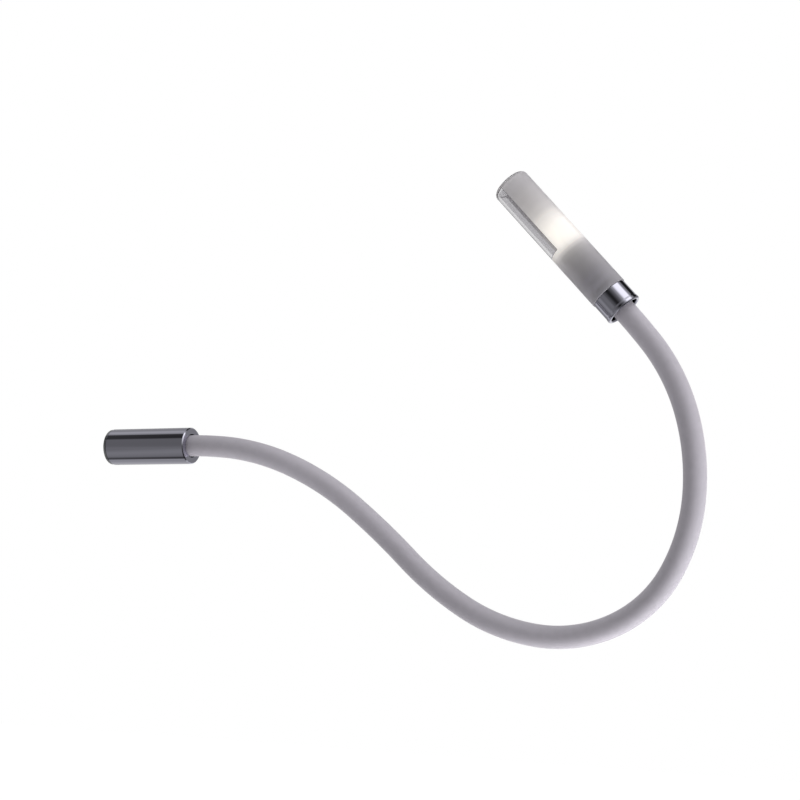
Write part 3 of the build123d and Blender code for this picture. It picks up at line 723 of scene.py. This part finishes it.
@dataclass
class BendableArm:
    """The silicone sleeve, made as one skin in pieces, each over one of the arm's hinges.

    The depths are how far the skin goes into the base and the head. The stiff lengths at both
    ends of the arm and at each seam between two pieces mark where each piece would start and end
    its bend, but nothing here bends the skin.
    """

    line: ArmLine
    outer: float = 14.0 * MM
    bore: float = 10.1 * MM
    sides: int = 56
    steps: int = 12
    root_depth: float = 3.0 * MM
    tip_depth: float = 3.0 * MM
    stiff_end: float = 3.5 * MM
    stiff_seam: float = 1.0 * MM
    finish: Finish = field(default_factory=lambda: Workshop.SILICONE.value)

    def ring(self, mesh: bmesh.types.BMesh, place: Matrix) -> list[bmesh.types.BMFace]:
        """Add the sleeve's ring-shaped cross-section.

        Args:
            mesh: The mesh that gets it.
            place: The cross-section of the arm it lies on.

        Returns:
            The faces of the ring.
        """
        loops = [
            bmesh.ops.create_circle(
                mesh, segments=self.sides, radius=diameter / 2, matrix=place)["verts"]
            for diameter in (self.outer, self.bore)
        ]
        edges = list(dict.fromkeys(
            edge for loop in loops for vert in loop for edge in vert.link_edges))
        return bmesh.ops.bridge_loops(mesh, edges=edges)["faces"]

    def along(
        self, mesh: bmesh.types.BMesh, faces: list[Any], bend: Bend, share: float
    ) -> list[bmesh.types.BMFace]:
        """Carry the ring along a share of a stretch.

        Args:
            mesh: The mesh being built.
            faces: The ring's faces.
            bend: The stretch.
            share: The share of the stretch to cover.

        Returns:
            The ring's faces at the far end.
        """
        made = bmesh.ops.spin(
            mesh, geom=faces, cent=bend.hub, axis=bend.axis, angle=bend.angle * share,
            steps=self.steps, use_duplicate=False)["geom_last"]
        return [item for item in made if isinstance(item, bmesh.types.BMFace)]

    def straight(
        self, mesh: bmesh.types.BMesh, faces: list[Any], way: Vector
    ) -> list[bmesh.types.BMFace]:
        """Carry the ring straight on.

        Args:
            mesh: The mesh being built.
            faces: The ring's faces.
            way: How far it goes and in which direction.

        Returns:
            The ring's faces at the far end.
        """
        made = bmesh.ops.extrude_face_region(mesh, geom=faces)["geom"]
        moved = [item for item in made if isinstance(item, bmesh.types.BMVert)]
        bmesh.ops.translate(mesh, verts=moved, vec=way)
        return [item for item in made if isinstance(item, bmesh.types.BMFace)]

    def piece(self, joint: int) -> bpy.types.Object:
        """Make the skin over one hinge, from the middle of one stretch to the middle of the next.

        Args:
            joint: The hinge's number, from 1 at the base to 11 at the head.

        Returns:
            The piece.
        """
        bends = self.line.bends()
        before, after = bends[joint - 1], bends[joint]
        first, last = joint == 1, joint == len(bends) - 1
        mesh = bmesh.new()
        if first:
            start = before.at(0.0)
            inset = start.col[2].to_3d() * self.root_depth
            faces = self.ring(mesh, Matrix.Translation(-inset) @ start)
            faces = self.straight(mesh, faces, inset)
            faces = self.along(mesh, faces, before, 1.0)
        else:
            faces = self.ring(mesh, before.at(0.5))
            faces = self.along(mesh, faces, before, 0.5)
        faces = self.along(mesh, faces, after, 1.0 if last else 0.5)
        if last:
            self.straight(mesh, faces, after.at(1.0).col[2].to_3d() * self.tip_depth)
        bmesh.ops.remove_doubles(mesh, verts=mesh.verts, dist=WELD)
        bmesh.ops.recalc_face_normals(mesh, faces=mesh.faces)
        piece = finished_piece(f"arm_skin_{joint:02d}", mesh)
        rest = piece.data.attributes.new("place_at_rest", "FLOAT_VECTOR", "POINT")
        rest.data.foreach_set("vector", [x for vert in piece.data.vertices for x in vert.co])
        return piece

    def build(self) -> None:
        """Make every piece of the skin, fix it in place, and hide the CAD sleeves that it replaces.
        """
        bends = self.line.bends()
        last = len(bends) - 1
        for joint in range(1, len(bends)):
            piece = self.piece(joint)
            give_finish(piece, self.finish.material())
            before, after = bends[joint - 1], bends[joint]
            near, far = before.length, after.length
            start = before.at(
                self.stiff_end / near if joint == 1 else 0.5 + self.stiff_seam / near)
            end = after.at(
                1 - self.stiff_end / far if joint == last else 0.5 - self.stiff_seam / far)
            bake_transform(piece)
            replaced = [f"arm_sleeve_{joint:02d}"]
            if joint == last:
                replaced.append(f"arm_sleeve_{joint + 1:02d}")
            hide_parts(*replaced)

    def dress(self) -> None:
        """Give the conduit and the lead inside the sleeve their finishes."""
        numbers = range(1, len(self.line.turns) + 1)
        dress_nodes({
            Workshop.CONDUIT: tuple(f"arm_core_{number:02d}" for number in numbers),
            Workshop.INSULATION: tuple(f"arm_lead_{number:02d}" for number in numbers),
        })


@dataclass
class LampHead:
    """The head: a chrome collar, two rubber rings, the etched glass tube and the lamp in it.

    Window_turn is the angle in degrees from the top of the head to the middle of the window.
    """

    line: ArmLine
    window_turn: float = 20.0

    def window_frame(self) -> Matrix:
        """Give the head's cross-section, turned so that X points at the middle of the window."""
        return self.line.head() @ Matrix.Rotation(math.radians(self.window_turn), 4, "Z")

    def glass(self) -> EtchedGlass:
        """Describe the etched glass.

        Returns:
            The finish, with the window and the glow where this head has them.
        """
        # Etched borosilicate. Silky and pale, with a clear strip where the mask lay. In reality
        # the acid's pits are some 0.02 mm, too fine to show. They are drawn at 0.45 mm, in
        # patches 5 mm across that show from where the camera stands.
        # Besides the etching, this finish paints the lamp's glow and a dark line along the window's
        # border.
        return EtchedGlass("borosilicate_etched", "#b4b1b7", 0.65, grain=0.45, relief=0.012,
                           tone_swing=0.02, rough_swing=0.04, axis_frame=self.window_frame())

    def dress(self) -> None:
        """Give each solid of the head its finish."""
        dress_nodes({
            Workshop.CHROME: ("head_collar",),
            Workshop.NICKEL: (
                "tip_ferrule", "tip_nut", "holder_ring", "holder_contacts", "bulb_pins"),
            Workshop.RUBBER: ("seal_ring_lower", "seal_ring_upper"),
            Workshop.ALUMINIUM: ("holder_sleeve",),
            Workshop.STEATITE: ("lamp_holder",),
            Workshop.QUARTZ: ("bulb_envelope",),
            Workshop.TUNGSTEN: ("bulb_filament",),
        })
        give_finish(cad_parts["glass_shade"], self.glass().material())
        LOG.info("dressed glass_shade in etched glass")


# The studio


@dataclass(frozen=True)
class BandRing:
    """A ring of grey bands on the dome, about one axis.

    The frame's Z is the axis and its X the direction that zero degrees points in. Lean is the
    share of a direction in the ring that points along the axis: at one, the ring is a round
    patch about its axis. Bands give degrees and a grey from 0 to 255. Where rings cross, the
    nearer one wins, over a width that softness sets.
    """

    place: Matrix
    lean: float
    bands: tuple[tuple[float, int], ...]
    softness: float = 0.0008

    def paint(
        self, tree: bpy.types.NodeTree, way: bpy.types.NodeSocket
    ) -> tuple[bpy.types.NodeSocket, bpy.types.NodeSocket]:
        """Make the ring's tone and how much it counts in a direction.

        Args:
            tree: The dome's node tree.
            way: The direction from the middle of the dome.

        Returns:
            The sockets of the tone, times its weight, and of the weight.
        """
        turned = add_node(tree, "ShaderNodeMapping", {
            "Vector": way, "Rotation": self.place.to_3x3().inverted().to_euler()})
        parts = add_node(tree, "ShaderNodeSeparateXYZ", {0: turned.outputs[0]})
        angle = add_node(tree, "ShaderNodeMath", {
            0: parts.outputs["Y"], 1: parts.outputs["X"]}, operation="ARCTAN2")
        share = add_node(tree, "ShaderNodeMapRange", {
            "Value": angle.outputs[0], "From Min": -math.pi, "From Max": math.pi})
        ramp = add_node(tree, "ShaderNodeValToRGB", {0: share.outputs[0]})
        set_stops(ramp.color_ramp, [
            ((degrees + 180) / 360, linear("#" + f"{grey:02x}" * 3))
            for degrees, grey in self.bands])
        off = add_node(tree, "ShaderNodeMath", {
            0: parts.outputs["Z"], 1: self.lean}, operation="SUBTRACT")
        square = add_node(tree, "ShaderNodeMath", {
            0: off.outputs[0], 1: off.outputs[0], 2: self.softness}, operation="MULTIPLY_ADD")
        weight = add_node(tree, "ShaderNodeMath", {
            0: 1.0, 1: square.outputs[0]}, operation="DIVIDE")
        toned = add_node(tree, "ShaderNodeVectorMath", {
            0: ramp.outputs[0], "Scale": weight.outputs[0]}, operation="SCALE")
        return toned.outputs[0], weight.outputs[0]


@dataclass
class MirrorDome:
    """What bright metal mirrors: a far dome in bands of grey, as cards and a soft box make."""

    rings: tuple[BandRing, ...]
    centre: Vector = field(default_factory=MIDDLE.copy)
    radius: float = 5.0
    reflectance: float = 0.56

    def bands(self) -> bpy.types.Material:
        """Blend the rings into one material.

        A band shines with its grey divided by what the metal reflects, so that the grey is what
        shows in the metal.

        Returns:
            The dome's material.
        """
        material = bpy.data.materials.new("mirror_dome_bands")
        tree = empty_tree(material)
        place = add_node(tree, "ShaderNodeTexCoord").outputs["Object"]
        off = add_node(tree, "ShaderNodeVectorMath", {
            0: place, 1: self.centre}, operation="SUBTRACT")
        way = add_node(tree, "ShaderNodeVectorMath", {
            0: off.outputs[0]}, operation="NORMALIZE").outputs[0]
        tone, whole = self.rings[0].paint(tree, way)
        for ring in self.rings[1:]:
            more, weight = ring.paint(tree, way)
            tone = add_node(tree, "ShaderNodeVectorMath", {
                0: tone, 1: more}, operation="ADD").outputs[0]
            whole = add_node(tree, "ShaderNodeMath", {
                0: whole, 1: weight}, operation="ADD").outputs[0]
        share = add_node(tree, "ShaderNodeMath", {
            0: 1 / self.reflectance, 1: whole}, operation="DIVIDE")
        glow = add_node(tree, "ShaderNodeEmission", {"Color": tone, "Strength": share.outputs[0]})
        add_node(tree, "ShaderNodeOutputMaterial", {"Surface": glow.outputs[0]})
        return material

    def build(self) -> None:
        """Make the dome, seen by mirrors alone."""
        mesh = bmesh.new()
        bmesh.ops.create_icosphere(mesh, subdivisions=4, radius=self.radius,
                                   matrix=Matrix.Translation(self.centre))
        dome = finished_piece("mirror_dome", mesh)
        give_finish(dome, self.bands())
        for ray in ("camera", "diffuse", "transmission", "volume_scatter", "shadow"):
            setattr(dome, f"visible_{ray}", False)


@dataclass(frozen=True)
class SoftLamp:
    """One soft square lamp that faces the object.

    Way points from the object to the lamp. Size is the length of its side and power is in watts.
    The dome shows what mirrors see of the lamps, so nothing shows the lamp itself.
    """

    name: str
    way: tuple[float, float, float]
    distance: float
    size: float
    power: float

    def hang(self) -> None:
        """Make the lamp and turn it to the object."""
        light = bpy.data.lights.new(self.name, "AREA")
        light.shape = "SQUARE"
        light.size = self.size
        light.energy = self.power
        way = Vector(self.way)
        lamp = add_to_scene(self.name, light)
        lamp.location = MIDDLE + way.normalized() * self.distance
        lamp.rotation_mode = "QUATERNION"
        lamp.rotation_quaternion = way.to_track_quat("Z", "Y")
        for ray in ("camera", "glossy", "transmission"):
            setattr(lamp, f"visible_{ray}", False)


@dataclass
class Studio:
    """A pale floor, a white surround, soft lamps, a dome for the chrome, and the camera.

    The floor's lift is the light that makes it look white, near by and far away, and it changes
    over the fade, in metres. Each lean is the share of the view that runs along the base or the
    head, which a straight piece of chrome keeps when it mirrors.
    """

    line: ArmLine
    floor_height: float = -0.9
    floor_size: float = 8.0
    floor_colour: str = "#e6e6e6"
    floor_fade: tuple[float, float] = (1.2, 2.6)
    floor_lift: tuple[float, float] = (0.5, 0.62)
    ambient: float = 0.52
    base_lean: float = 0.403
    collar_lean: float = 0.268
    # What the base's round side mirrors
    base_bands: tuple[tuple[float, int], ...] = (
        (-160, 118), (-110, 120), (-94, 134), (-91, 105), (-89, 16), (-78, 16), (-75, 62),
        (-70, 93), (-50, 108), (-40, 118), (-25, 122), (-11, 112), (-6, 96), (0, 90),
        (45, 88), (50, 44), (55, 20), (79, 18), (83, 100), (90, 132), (96, 150), (110, 140),
        (118, 114), (165, 112),
    )
    # What the collar's round side mirrors
    collar_bands: tuple[tuple[float, int], ...] = (
        (-150, 110), (-140, 120), (-131, 175), (-118, 120), (-113, 80), (-104, 78), (-98, 94),
        (-91, 110), (-78, 126), (-63, 94), (-50, 100), (-38, 83), (-32, 75), (-26, 72),
        (-15, 38), (-9, 22), (-3, 26), (2, 44), (14, 75), (20, 88), (26, 112), (32, 155),
        (37, 215), (43, 250), (50, 255), (73, 255), (80, 180), (85, 124), (94, 126), (102, 20),
        (130, 16), (138, 160),
    )
    # What the base's flat front and its recess mirror, which turn the view back along the base
    front_bands: tuple[tuple[float, int], ...] = (
        (-170, 80), (-140, 150), (-90, 200), (-40, 90), (0, 60), (50, 150), (92, 210), (112, 60),
        (118, 20), (142, 20), (150, 60), (160, 86), (176, 84),
    )
    # What the collar's rolled lip mirrors: the arm in its middle, the surround at its ends
    lip_dark: int = 16
    lip_pale: int = 196
    lamps: tuple[SoftLamp, ...] = (
        SoftLamp("top_lamp", (0.085, -0.345, 0.928), 1.3, 0.9, 10.5),
        SoftLamp("side_lamp", (-0.049, -0.951, -0.33), 1.2, 0.6, 9.5),
        SoftLamp("low_lamp", (0.14, -0.30, -0.94), 0.85, 0.6, 5.0),
        SoftLamp("rear_lamp", (0.396, 0.897, 0.1), 1.3, 0.8, 4.0),
    )
    camera_place: Vector = field(default_factory=lambda: Vector((-0.86563, -0.5946, -0.03728)))
    camera_way: Vector = field(default_factory=lambda: Vector((0.9127, 0.4031, 0.0670)))
    lens: float = 68.578
    sensor: float = 36.0
    clip: tuple[float, float] = (0.01, 50.0)

    def world(self) -> None:
        """Make the surround: white where it is seen, and plain light for the rest."""
        world = bpy.data.worlds.new("white_surround")
        tree = empty_tree(world)
        level = add_node(tree, "ShaderNodeMapRange", {
            "Value": seen_share(tree), "To Min": self.ambient, "To Max": 1.0})
        back = add_node(tree, "ShaderNodeBackground", {
            "Color": (1.0, 1.0, 1.0, 1.0), "Strength": level.outputs[0]})
        add_node(tree, "ShaderNodeOutputWorld", {"Surface": back.outputs[0]})
        bpy.context.scene.world = world

    def floor_paint(self) -> bpy.types.Material:
        """Make the floor's matt paint, with the lift that makes it look white.

        Returns:
            The floor's material.
        """
        material = bpy.data.materials.new("pale_floor")
        tree = empty_tree(material)
        paint = add_node(tree, "ShaderNodeBsdfDiffuse", {"Color": linear(self.floor_colour)})
        place = add_node(tree, "ShaderNodeTexCoord").outputs["Object"]
        away = add_node(tree, "ShaderNodeVectorMath", {0: place}, operation="LENGTH")
        fade = add_node(tree, "ShaderNodeMapRange", {
            "Value": away.outputs["Value"],
            "From Min": self.floor_fade[0], "From Max": self.floor_fade[1],
            "To Min": self.floor_lift[0], "To Max": self.floor_lift[1]})
        level = add_node(tree, "ShaderNodeMath", {
            0: seen_share(tree), 1: fade.outputs[0]}, operation="MULTIPLY")
        lift = add_node(tree, "ShaderNodeEmission", {
            "Color": (1.0, 1.0, 1.0, 1.0), "Strength": level.outputs[0]})
        both = add_node(tree, "ShaderNodeAddShader", {0: paint.outputs[0], 1: lift.outputs[0]})
        add_node(tree, "ShaderNodeOutputMaterial", {"Surface": both.outputs[0]})
        return material

    def floor(self) -> None:
        """Lay the pale floor, which keeps the object's shadow and doesn't show in mirrors."""
        mesh = bmesh.new()
        bmesh.ops.create_grid(mesh, x_segments=8, y_segments=8, size=self.floor_size / 2,
                              matrix=Matrix.Translation((0, 0, self.floor_height)))
        floor = finished_piece("floor", mesh)
        give_finish(floor, self.floor_paint())
        floor.visible_glossy = False

    def dome(self) -> None:
        """Paint the dome with three rings of bands and two patches.

        Two rings are for the round sides of the base and the collar and one for the base's
        front. The patches are for the collar's lip.
        """
        base = Matrix(((-1, 0, 0), (0, 0, 1), (0, 1, 0))).to_4x4()
        along = self.line.head().col[2].to_3d()
        near = (self.camera_way * -1 + along * self.camera_way.dot(along)).normalized()
        collar = Matrix((near, along.cross(near), along)).transposed().to_4x4()
        down_arm, behind = (
            way.to_track_quat("Z", "Y").to_matrix().to_4x4()
            for way in (-along, self.camera_way.reflect(along)))
        MirrorDome((
            BandRing(base, self.base_lean, self.base_bands),
            BandRing(collar, self.collar_lean, self.collar_bands),
            BandRing(base, -self.base_lean, self.front_bands),
            BandRing(down_arm, 1.0, ((0, self.lip_dark),)),
            BandRing(behind, 1.0, ((0, self.lip_pale),)),
        )).build()

    def camera(self) -> None:
        """Place the camera where the photograph was taken from."""
        data = bpy.data.cameras.new("camera")
        data.sensor_width = self.sensor
        data.lens = self.lens
        data.clip_start, data.clip_end = self.clip
        camera = add_to_scene("camera", data)
        camera.location = self.camera_place
        camera.rotation_mode = "QUATERNION"
        camera.rotation_quaternion = self.camera_way.to_track_quat("-Z", "Y")
        bpy.context.scene.camera = camera

    def build(self) -> None:
        """Set up the whole studio."""
        bpy.context.scene.view_settings.view_transform = "Standard"
        self.world()
        self.floor()
        self.dome()
        for lamp in self.lamps:
            lamp.hang()
        self.camera()
        LOG.info("set up the studio")


def main() -> None:
    """Build the sub-assemblies in order and set up the studio."""
    logging.basicConfig(level=logging.INFO, format="%(name)s: %(message)s")
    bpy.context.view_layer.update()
    line = ArmLine()
    WallBase().dress()
    arm = BendableArm(line)
    arm.build()
    arm.dress()
    LampHead(line).dress()
    Studio(line).build()


if __name__ == "__main__":
    main()
